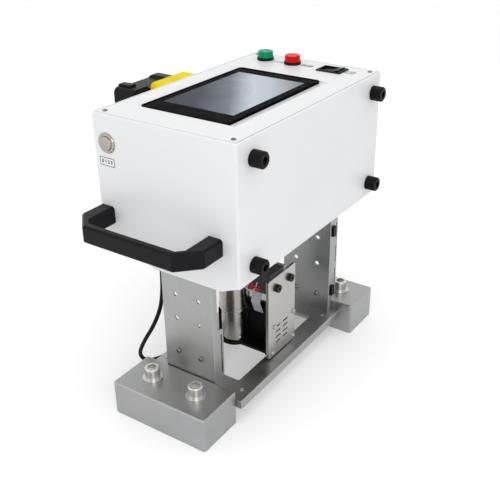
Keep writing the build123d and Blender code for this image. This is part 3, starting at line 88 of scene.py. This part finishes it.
def coil_points():
    """Control points of the coil's half turns, in on the lower layer and out on the upper one."""
    x, y, z = lead_points[-1]
    y += lead_diameter
    middle = coil_half_turns // 2
    reach = 1.0 / math.cos(math.pi / coil_steps / 2)
    points = []
    for index in range(coil_half_turns):
        depth = min(index, coil_half_turns - 1 - index)
        radius = coil_radius - depth * coil_pitch / 2
        side = 1 if index % 2 == 0 else -1
        rise = coil_rise if index == middle else 0.0
        centre = x - side * radius
        for step in range(coil_steps):
            angle = math.pi * (step + 0.5) / coil_steps
            lift = rise * (1 - math.cos(angle)) / 2
            points.append((
                centre + side * radius * reach * math.cos(angle),
                y + side * radius * reach * math.sin(angle),
                z + lift,
            ))
        x -= side * 2 * radius
        z += rise
    points.append((x, y, z))
    points.append((x, y - lead_diameter, z))
    return points


def smooth_tube(name, points, width, roundness):
    """A round tube along a smooth line that has the points as its control points."""
    curve = bpy.data.curves.new(name, "CURVE")
    curve.dimensions = "3D"
    curve.bevel_depth = width / 2
    curve.bevel_resolution = roundness
    curve.resolution_u = 8
    spline = curve.splines.new("NURBS")
    spline.points.add(len(points) - 1)
    for point, place in zip(spline.points, points):
        point.co = (*place, 1.0)
    spline.order_u = 3
    spline.use_endpoint_u = True
    return bpy.data.objects.new(name, curve)


def power_lead():
    lead = smooth_tube("lead", lead_points + coil_points(), lead_diameter, 6)
    scene.collection.objects.link(lead)
    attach(lead, "frame")
    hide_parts("power_lead", "power_lead_coil")
    return lead


lead = power_lead()


# Shader helpers
class Shader:
    """A node material with a principled surface and short calls for the usual textures."""

    def __init__(self, name):
        self.material = bpy.data.materials.new(name)
        self.material.use_nodes = True
        self.tree = self.material.node_tree
        self.surface = self.tree.nodes["Principled BSDF"]
        self.place = self.tree.nodes.new("ShaderNodeTexCoord").outputs["Object"]

    def set(self, **values):
        for name, value in values.items():
            self.surface.inputs[name.replace("_", " ")].default_value = value
        return self

    def link(self, output, name):
        self.tree.links.new(output, self.surface.inputs[name])

    def node(self, kind, inputs=(), **settings):
        made = self.tree.nodes.new(kind)
        for name, value in settings.items():
            setattr(made, name, value)
        for name, value in inputs:
            if hasattr(value, "is_output"):
                self.tree.links.new(value, made.inputs[name])
            else:
                made.inputs[name].default_value = value
        return made

    def noise(self, scale, detail=3.0, stretch=(1, 1, 1), distortion=0.0):
        placed = self.node("ShaderNodeMapping", [("Vector", self.place), ("Scale", stretch)])
        made = self.node(
            "ShaderNodeTexNoise",
            [
                ("Vector", placed.outputs[0]),
                ("Scale", scale),
                ("Detail", detail),
                ("Distortion", distortion),
            ],
        )
        return made.outputs["Fac"]

    def between(self, fac, low, high, from_low=0.3, from_high=0.7):
        made = self.node("ShaderNodeMapRange", [
            ("Value", fac),
            ("From Min", from_low),
            ("From Max", from_high),
            ("To Min", low),
            ("To Max", high),
        ])
        return made.outputs["Result"]

    def dot(self, first, second):
        return self.node("ShaderNodeVectorMath", [(0, first), (1, second)], operation="DOT_PRODUCT")

    def along(self, direction):
        """Distance along a direction, in metres from the model's origin."""
        return self.dot(self.place, direction).outputs["Value"]

    def ramp(self, value, low, high, stops):
        """Colours that follow a value between two limits; each stop is a share and a colour."""
        made = self.node("ShaderNodeValToRGB", [("Fac", self.between(value, 0.0, 1.0, low, high))])
        elements = made.color_ramp.elements
        elements[0].position, elements[1].position = stops[0][0], stops[-1][0]
        for share, color in stops[1:-1]:
            elements.new(share)
        for element, (share, color) in zip(elements, stops):
            element.color = (*color, 1.0)
        return made.outputs["Color"]

    def mix(self, fac, first, second, blend="MIX"):
        made = self.node("ShaderNodeMix", data_type="RGBA", blend_type=blend)
        for index, value in ((0, fac), (6, first), (7, second)):
            if hasattr(value, "is_output"):
                self.tree.links.new(value, made.inputs[index])
            elif index == 0:
                made.inputs[index].default_value = value
            else:
                made.inputs[index].default_value = (*value, 1.0)
        return made.outputs[2]

    def edges(self, radius=0.0008, low=0.02, high=0.25):
        """1 along edges, 0 on flat faces, with the rounded normal that goes with it."""
        rounded = self.node("ShaderNodeBevel", [("Radius", radius)], samples=6)
        plain = self.node("ShaderNodeNewGeometry").outputs["Normal"]
        turned = self.dot(rounded.outputs[0], plain).outputs["Value"]
        return self.between(turned, 0.0, 1.0, 1.0 - low, 1.0 - high), rounded.outputs[0]

    def bump(self, height, strength, distance, normal=None):
        inputs = [("Height", height), ("Strength", strength), ("Distance", distance)]
        if normal is not None:
            inputs.append(("Normal", normal))
        made = self.node("ShaderNodeBump", inputs)
        self.link(made.outputs["Normal"], "Normal")
        return made


def darker(color, share):
    return tuple(value * share for value in color)


def powder_coat(name, color):
    s = Shader(name).set(Specular_IOR_Level=0.5, Coat_Weight=0.12, Coat_Roughness=0.25)
    edge_mask, rounded = s.edges(radius=0.0010)
    cloud = s.between(s.noise(9.0, 2.0), 0.0, 1.0)
    tone = s.mix(cloud, color, darker(color, 0.975))
    # Edges lighter towards near white: painted highlight and wear.
    s.link(s.mix(s.between(edge_mask, 0.0, 0.35, 0.0, 1.0), tone, (0.93, 0.93, 0.92)), "Base Color")
    s.link(s.between(s.noise(40.0, 4.0), 0.32, 0.42), "Roughness")
    s.bump(s.noise(1100.0, 2.0), 0.10, 0.0004, rounded)
    return s.material


def zinc_plate(name, color, streak=(1, 1, 1), rough=(0.26, 0.44)):
    s = Shader(name).set(Metallic=1.0)
    edge_mask, rounded = s.edges(radius=0.0009)
    mottle = s.between(s.noise(26.0, 5.0, distortion=0.6), 0.0, 1.0)
    warm = s.between(s.noise(7.0, 2.0), 0.0, 0.5)
    tone = s.mix(mottle, darker(color, 0.86), color)
    tone = s.mix(warm, tone, (color[0] * 1.04, color[1] * 0.98, color[2] * 0.90))
    # Edges lighter, up to 1.7 times the colour: painted highlight and wear.
    s.link(s.mix(edge_mask, tone, tuple(min(1.0, value * 1.7) for value in color)), "Base Color")
    brushed = s.noise(260.0, 4.0, stretch=streak)
    blend = s.node("ShaderNodeMath", [(0, brushed), (1, mottle)], operation="MULTIPLY_ADD")
    blend.inputs[2].default_value = 0.1
    s.link(s.between(blend.outputs[0], rough[0], rough[1], 0.1, 0.8), "Roughness")
    s.bump(brushed, 0.10, 0.0002, rounded)
    return s.material


def polished_steel(name, color, rough, streak=(1, 1, 0.02)):
    s = Shader(name).set(Metallic=1.0, Base_Color=(*color, 1.0))
    rounded = s.edges(radius=0.0005)[1]
    lines = s.noise(700.0, 3.0, stretch=streak)
    smudge = s.between(s.noise(30.0, 4.0), 0.0, 1.0)
    s.link(s.mix(smudge, darker(color, 0.93), color), "Base Color")
    s.link(s.between(lines, rough * 0.7, rough * 1.4), "Roughness")
    s.bump(lines, 0.05, 0.0001, rounded)
    return s.material


def moulded(
    name, color, rough=0.45, grain=1600.0, depth=0.16, sheen=(0.10, 0.10, 0.11), shine=0.14,
):
    s = Shader(name).set(Specular_IOR_Level=shine)
    edge_mask, rounded = s.edges(radius=0.0008)
    cloud = s.between(s.noise(22.0, 3.0), 0.0, 1.0)
    tone = s.mix(cloud, color, darker(color, 0.82))
    # Edges lighter by the sheen: painted highlight and some wear.
    edge = tuple(min(1.0, value + lift) for value, lift in zip(color, sheen))
    s.link(s.mix(s.between(edge_mask, 0.0, 0.4, 0.0, 1.0), tone, edge), "Base Color")
    s.link(s.between(s.noise(60.0, 4.0), rough * 0.85, rough * 1.15), "Roughness")
    s.bump(s.noise(grain, 2.0), depth, 0.0003, rounded)
    return s.material


def gloss(name, color, rough=0.25, coat=0.04):
    s = Shader(name).set(Specular_IOR_Level=0.10, Coat_Weight=coat, Coat_Roughness=0.06)
    rounded = s.edges(radius=0.0006)[1]
    cloud = s.between(s.noise(80.0, 2.0), 0.0, 1.0)
    s.link(s.mix(cloud, color, darker(color, 0.9)), "Base Color")
    s.link(s.between(s.noise(160.0, 3.0), rough * 0.8, rough * 1.5), "Roughness")
    s.bump(s.noise(300.0, 1.0), 0.03, 0.0002, rounded)
    return s.material


def display_face(name):
    """Unlit display: slate blue with a painted reflection of daylight, a pale band across it."""
    s = Shader(name).set(Specular_IOR_Level=0.05)
    wave = s.node("ShaderNodeMath", [(0, s.noise(16.0, 2.0)), (1, 0.02)], operation="MULTIPLY")
    across = s.along((0.84, 0.54, 0.0))
    shift = s.node("ShaderNodeMath", [(0, across), (1, wave.outputs[0])], operation="ADD")
    slate_with_painted_reflection = s.ramp(shift.outputs[0], -0.07, 0.13, (
        (0.0, (0.016, 0.021, 0.030)),
        (0.28, (0.032, 0.040, 0.056)),
        (0.48, (0.17, 0.20, 0.235)),
        (0.64, (0.62, 0.69, 0.75)),
        (0.76, (0.56, 0.63, 0.68)),
        (1.0, (0.22, 0.25, 0.27)),
    ))
    s.link(slate_with_painted_reflection, "Base Color")
    s.link(s.between(s.noise(900.0, 1.0), 0.20, 0.26), "Roughness")
    return s.material


def cover_glass(name):
    s = Shader(name).set(Specular_IOR_Level=0.01, IOR=1.5, Alpha=0.05)
    s.set(Base_Color=(0.01, 0.012, 0.014, 1.0))
    s.link(s.between(s.noise(60.0, 3.0), 0.02, 0.06), "Roughness")
    return s.material


def label_plate(name):
    s = Shader(name).set(Metallic=0.2)
    edge_mask, rounded = s.edges(radius=0.0004)
    # Darker towards the edges.
    s.link(s.mix(edge_mask, (0.80, 0.81, 0.82), (0.35, 0.35, 0.36)), "Base Color")
    s.link(s.between(s.noise(500.0, 2.0, stretch=(1, 0.05, 1)), 0.30, 0.45), "Roughness")
    s.bump(s.noise(500.0, 2.0), 0.03, 0.0001, rounded)
    return s.material


# Looks of the plain parts
materials = {
    "white_paint": powder_coat("powder_coat_white", (0.81, 0.815, 0.825)),
    "zinc": zinc_plate(
        "zinc_plate", (0.40, 0.41, 0.42), streak=(1, 1, 0.04), rough=(0.30, 0.48),
    ),
    "plate_steel": zinc_plate(
        "plate_steel", (0.52, 0.52, 0.51), streak=(1, 0.05, 1), rough=(0.30, 0.42),
    ),
    "aluminium": zinc_plate("machined_aluminium", (0.66, 0.67, 0.68), streak=(1, 0.05, 1)),
    "stainless": polished_steel("stainless", (0.43, 0.40, 0.37), 0.22),
    "screw_steel": polished_steel("bright_screw", (0.66, 0.65, 0.62), 0.24, streak=(1, 1, 0.2)),
    "dull_screw": polished_steel("dull_screw", (0.45, 0.45, 0.44), 0.32, streak=(1, 1, 0.2)),
    "lid_screw": polished_steel("lid_screw", (0.20, 0.20, 0.20), 0.30, streak=(1, 1, 0.2)),
    "dark_screw": polished_steel("black_oxide", (0.05, 0.05, 0.055), 0.35, streak=(1, 1, 1)),
    "black_plastic": moulded(
        "black_plastic", (0.005, 0.005, 0.0065), rough=0.38, sheen=(0.02, 0.02, 0.022),
    ),
    "rubber": moulded(
        "black_rubber", (0.004, 0.004, 0.0045), rough=0.55,
        grain=900.0, depth=0.2, sheen=(0.015, 0.015, 0.016),
    ),
    "black_cap": moulded(
        "black_cap", (0.008, 0.008, 0.009), rough=0.35,
        grain=1200.0, depth=0.05, sheen=(0.05, 0.05, 0.05), shine=0.2,
    ),
    "screen_black": moulded(
        "screen_bezel", (0.0015, 0.0015, 0.0022), rough=0.45,
        grain=2500.0, depth=0.03, sheen=(0.01, 0.01, 0.01), shine=0.01,
    ),
    "display": display_face("display"),
    "glass": cover_glass("cover_glass"),
    "green": gloss("green_cap", (0.0, 0.29, 0.115)),
    "red": gloss("red_cap", (0.66, 0.003, 0.003)),
    "yellow": moulded(
        "yellow_dock", (0.93, 0.72, 0.005), rough=0.5, sheen=(0.05, 0.05, 0.01), shine=0.04,
    ),
    "legend": label_plate("legend_plate"),
    "arm_grey": moulded(
        "arm_grey", (0.060, 0.062, 0.066), rough=0.5, grain=900.0, depth=0.1, shine=0.3,
    ),
    "motor_black": moulded("motor_case", (0.02, 0.02, 0.022), rough=0.5),
    "board": moulded("circuit_board", (0.01, 0.16, 0.06), rough=0.3),
    "ribbon": moulded("ribbon_cable", (0.62, 0.62, 0.66), rough=0.5, grain=400.0),
    "wire_red": moulded(
        "wire_red", (0.70, 0.03, 0.02), rough=0.4, grain=900.0, depth=0.05, shine=0.3,
    ),
    "wire_pale": moulded(
        "wire_pale", (0.60, 0.58, 0.56), rough=0.4, grain=900.0, depth=0.05, shine=0.3,
    ),
    "ink": moulded("ink", (0.012, 0.012, 0.014), rough=0.6, grain=2500.0, depth=0.02),
    "seam": moulded("seam", (0.10, 0.10, 0.10), rough=0.7, grain=2500.0, depth=0.02),
}

# Nodes that look different from the others in their slot
node_finish = {
    "lid_screws": "lid_screw",
    # The leg screws take the dark lid-screw steel as painted shade, the shade of the holes they sit
    # in.
    "leg_screws": "lid_screw",
    "plate_screws": "dull_screw",
    "plate_cap_screws": "black_cap",
    "arm_block": "arm_grey",
    "side_plate": "plate_steel",
}


def paint_nodes():
    """Each CAD node takes the finished material of its slot in the record, or one of its own."""
    for part in frame["record"]["subparts"]:
        mesh = frame["nodes"][part["node"]].data
        mesh.materials.clear()
        mesh.materials.append(materials[node_finish.get(part["node"], part["material_slot"])])


paint_nodes()
lead.data.materials.append(materials["rubber"])


# Helpers for the small pieces
head_middle = (26.25, 36.25, 217.0)
box_faces = (
    (0, 1, 3, 2), (4, 6, 7, 5), (0, 4, 5, 1),
    (2, 3, 7, 6), (0, 2, 6, 4), (1, 5, 7, 3),
)


def place_of(x, y, z):
    """A point in millimetres from the middle of the head's underside, as metres in the model."""
    return tuple((value + middle) / 1000.0 for value, middle in zip((x, y, z), head_middle))


def add_piece(piece, body):
    scene.collection.objects.link(piece)
    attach(piece, body)


def add_box(points, faces, low, high):
    """One box between two corners, added to a mesh's points and faces."""
    base = len(points)
    for x in (low[0], high[0]):
        for y in (low[1], high[1]):
            for z in (low[2], high[2]):
                points.append((x, y, z))
    faces += [[base + index for index in face] for face in box_faces]


def mesh_object(name, points, faces, material):
    mesh = bpy.data.meshes.new(name)
    mesh.from_pydata(points, [], faces)
    mesh.materials.append(materials[material])
    return bpy.data.objects.new(name, mesh)


def bars(name, boxes, material, body="frame"):
    """Thin bars between pairs of corners, as one mesh."""
    points, faces = [], []
    for low, high in boxes:
        add_box(points, faces, low, high)
    add_piece(mesh_object(name, points, faces, material), body)


# Marks on the bare labels, and the seam of the lid
ink_depth = 0.00005
ink_spread = 0.00022
border_rise = 0.00012


def ink(name, text, place, height, upright=False):
    """Printed characters that stand a hair above their label."""
    curve = bpy.data.curves.new(name, "FONT")
    curve.body = text
    curve.size = height
    curve.extrude = ink_depth
    curve.offset = ink_spread
    curve.align_x = "CENTER"
    curve.align_y = "CENTER"
    curve.materials.append(materials["ink"])
    piece = bpy.data.objects.new(name, curve)
    piece.location = place
    piece.rotation_euler = (math.radians(90.0) if upright else 0.0, 0.0, 0.0)
    add_piece(piece, "frame")


def label_border(name, middle, width, depth, line=0.0007, upright=False):
    """Printed line round a label that lies on the lid, or stands on the front."""
    x, y, z = middle
    half = line / 2
    wide = width / 2 - half
    deep = depth / 2 - half
    boxes = []
    for side in (-1, 1):
        across = side * (wide - half)
        along = side * (deep - half)
        for left, right, low, high in (
            (across - half, across + half, -deep, deep),
            (-wide, wide, along - half, along + half),
        ):
            if upright:
                corners = ((x + left, y - border_rise, z + low), (x + right, y, z + high))
            else:
                corners = ((x + left, y + low, z), (x + right, y + high, z + border_rise))
            boxes.append(corners)
    bars(name, boxes, "ink")


start_label = place_of(-46.5, 154.0, 195.5)
stop_label = place_of(4.7, 157.5, 195.5)
switch_label = place_of(80.0, 157.0, 195.5)
front_label = place_of(-93.5, -192.0, 130.0)
seam_low = 195.0
seam_high = 195.06


# Marking unit: its lower bracket, a screw, the wires and the painted shadow in the plate's slots
unit_x = 17.0
unit_y = -67.0
sleeve_radius = 21.0
cup_inner = 21.3
cup_outer = 25.0
cup_low = -175.0
cup_high = -124.0
cup_start = 24.0
cup_end = 214.0
cup_steps = 38
disc_steps = 48
disc_thickness = 4.0
wire_width = 0.0020


def round_unit(radius, degrees, height):
    """A point round the marking unit's axis."""
    angle = math.radians(degrees)
    return place_of(unit_x + radius * math.cos(angle), unit_y + radius * math.sin(angle), height)


def cup_wall(points, faces):
    for step in range(cup_steps + 1):
        degrees = cup_start + (cup_end - cup_start) * step / cup_steps
        for radius in (cup_inner, cup_outer):
            for height in (cup_low, cup_high):
                points.append(round_unit(radius, degrees, height))
    for a in range(0, 4 * cup_steps, 4):
        b = a + 4
        faces += [
            [a, a + 1, b + 1, b],
            [a + 2, b + 2, b + 3, a + 3],
            [a + 1, a + 3, b + 3, b + 1],
            [a, b, b + 2, a + 2],
        ]
    last = 4 * cup_steps
    faces += [[0, 2, 3, 1], [last, last + 1, last + 3, last + 2]]


def cup_disc(points, faces):
    base = len(points)
    for step in range(disc_steps):
        for height in (cup_low, cup_low + disc_thickness):
            points.append(round_unit(cup_outer, 360.0 * step / disc_steps, height))
    for step in range(disc_steps):
        a = base + 2 * step
        b = base + 2 * ((step + 1) % disc_steps)
        faces.append([a, b, b + 1, a + 1])
    faces.append([base + 2 * step for step in reversed(range(disc_steps))])
    faces.append([base + 2 * step + 1 for step in range(disc_steps)])


def marking_cradle():
    """Lower bracket: a web behind the side plate, a foot, and an open cup round the sleeve."""
    points, faces = [], []
    cup_wall(points, faces)
    cup_disc(points, faces)
    for low, high in (
        ((30.0, -82.0, cup_low), (83.0, -24.0, cup_low + 5.0)),
        ((82.4, -84.5, cup_low), (88.3, -22.5, -92.0)),
        ((36.5, -58.0, cup_low), (83.0, -52.0, -104.0)),
    ):
        add_box(points, faces, place_of(*low), place_of(*high))
    piece = mesh_object("marking_cradle", points, faces, "black_plastic")
    bevel = piece.modifiers.new("edges", "BEVEL")
    bevel.width = 0.0006
    bevel.segments = 2
    bevel.limit_method = "ANGLE"
    add_piece(piece, "carriage")
    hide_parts("cradle_bracket")


def sleeve_screw():
    """Screw head low on the unit's sleeve."""
    facing = -37.0
    head_height = 0.0014
    made = bmesh.new()
    bmesh.ops.create_cone(
        made, cap_ends=True, segments=24, radius1=0.0028, radius2=0.0021, depth=head_height,
    )
    rims = [edge for edge in made.edges if edge.calc_face_angle(0.0) > 0.6]
    bmesh.ops.bevel(made, geom=rims, offset=0.0002, segments=2, affect="EDGES")
    mesh = bpy.data.meshes.new("sleeve_screw")
    made.to_mesh(mesh)
    made.free()
    mesh.materials.append(materials["screw_steel"])
    piece = bpy.data.objects.new("sleeve_screw", mesh)
    piece.location = round_unit(sleeve_radius + 0.6, facing, -163.5)
    piece.rotation_euler = (0.0, math.radians(90.0), math.radians(facing))
    add_piece(piece, "carriage")


def wire(name, material, points):
    """A short wire between two pieces of the marking unit."""
    piece = smooth_tube(name, [place_of(*point) for point in points], wire_width, 3)
    piece.data.materials.append(materials[material])
    add_piece(piece, "carriage")


slot_rows = 4
slot_columns = 2
slot_y = -71.0
slot_z = -132.0
slot_pitch = 9.0
slot_step = 20.0
slot_length = 14.0
slot_width = 3.0
slot_floor = 91.85
painted_slot_shade = 92.3
slot_gap = 0.1


def slot_shadows():
    """Painted shadow: dark bars in the side plate's shallow slots."""
    boxes = []
    for row in range(slot_rows):
        z = slot_z - row * slot_pitch
        for column in range(slot_columns):
            y = slot_y + column * slot_step
            low = place_of(slot_floor, y + slot_gap, z + slot_gap)
            high = place_of(painted_slot_shade, y + slot_length - slot_gap, z + slot_width - slot_gap)
            boxes.append((low, high))
    bars("painted_slot_shade", boxes, "ink", body="carriage")


marking_cradle()
sleeve_screw()
slot_shadows()
bars("lid_seam", [
    (place_of(left, front, seam_low), place_of(right, rear, seam_high))
    for left, front, right, rear in (
        (111.35, -187.0, 112.05, 187.6),
        (-111.7, -187.0, -111.35, 187.6),
        (-111.4, 187.6, 112.0, 188.1),
        (-111.4, -187.9, 111.4, -187.65),
    )
], "seam")
ink("start_mark", "I I I I", start_label, 0.0085)
ink("stop_mark", "0 I 0", stop_label, 0.0070)
ink("switch_mark", "I 0", switch_label, 0.0070)
ink("front_mark", "0 1 2 3", front_label, 0.0065, upright=True)
label_border("stop_border", stop_label, 0.019, 0.010, line=0.0012)
label_border("switch_border", switch_label, 0.015, 0.012, line=0.0009)
label_border("front_border", front_label, 0.0257, 0.0124, upright=True)
wire("wire_a", "wire_red", [
    (36, -86, -40), (48, -89, -48), (60, -88, -56), (68, -84, -66), (72, -78.7, -70),
])
wire("wire_b", "wire_red", [
    (38, -84, -44), (50, -87, -54), (60, -86, -66), (68, -82, -72), (70, -78.7, -64),
])
wire("wire_c", "wire_pale", [
    (37, -85, -48), (47, -90, -60), (58, -89, -70), (66, -83, -69), (66, -78.7, -58),
])


# Floor, light and world
floor_reach = 3.0
floor_glow = 0.27
surround_seen = 1.0
surround_light = 0.87


def background_rays(tree):
    """1 for the rays that show the background: from the camera, off metal and through glass."""
    path = tree.nodes.new("ShaderNodeLightPath").outputs
    total = path["Is Camera Ray"]
    for name in ("Is Glossy Ray", "Is Transmission Ray"):
        step = tree.nodes.new("ShaderNodeMath")
        step.operation = "MAXIMUM"
        tree.links.new(total, step.inputs[0])
        tree.links.new(path[name], step.inputs[1])
        total = step.outputs[0]
    return total


def stage_floor():
    corners = [
        (side * floor_reach, end * floor_reach, 0.0)
        for side, end in ((-1, -1), (1, -1), (1, 1), (-1, 1))
    ]
    mesh = bpy.data.meshes.new("floor")
    mesh.from_pydata(corners, [], [(0, 1, 2, 3)])
    floor = bpy.data.objects.new("floor", mesh)
    scene.collection.objects.link(floor)
    s = Shader("floor")
    s.set(Base_Color=(0.80, 0.80, 0.802, 1.0), Roughness=0.7, Specular_IOR_Level=0.1)
    s.set(Emission_Color=(1.0, 1.0, 1.0, 1.0))
    s.link(s.between(background_rays(s.tree), 0.0, floor_glow, 0.0, 1.0), "Emission Strength")
    mesh.materials.append(s.material)


def area_light(name, place, target, size, power):
    data = bpy.data.lights.new(name, "AREA")
    data.shape = "RECTANGLE"
    data.size, data.size_y = size
    data.energy = power
    lamp = bpy.data.objects.new(name, data)
    lamp.location = place
    aim = Vector(target) - Vector(place)
    lamp.rotation_euler = aim.to_track_quat("-Z", "Y").to_euler()
    scene.collection.objects.link(lamp)


def studio_world():
    """Even surround: white where it is seen, a little softer as light on the object."""
    world = bpy.data.worlds.new("studio")
    world.use_nodes = True
    tree = world.node_tree
    strength = tree.nodes.new("ShaderNodeMapRange")
    strength.inputs["To Min"].default_value = surround_light
    strength.inputs["To Max"].default_value = surround_seen
    tree.links.new(background_rays(tree), strength.inputs["Value"])
    back = tree.nodes["Background"]
    back.inputs["Color"].default_value = (1.0, 1.0, 1.0, 1.0)
    tree.links.new(strength.outputs[0], back.inputs["Strength"])
    scene.world = world


stage_floor()
area_light("key", (1.05, -1.05, 0.95), (0.1, -0.1, 0.3), (0.8, 0.8), 4.8)
area_light("fill", (-0.9, -1.7, 0.9), (0.0, 0.0, 0.25), (1.0, 1.0), 2.8)
area_light("top", (0.1, 0.3, 2.2), (0.0, 0.0, 0.3), (1.6, 1.6), 5.0)
studio_world()
scene.view_settings.view_transform = "Standard"

bpy.context.view_layer.update()
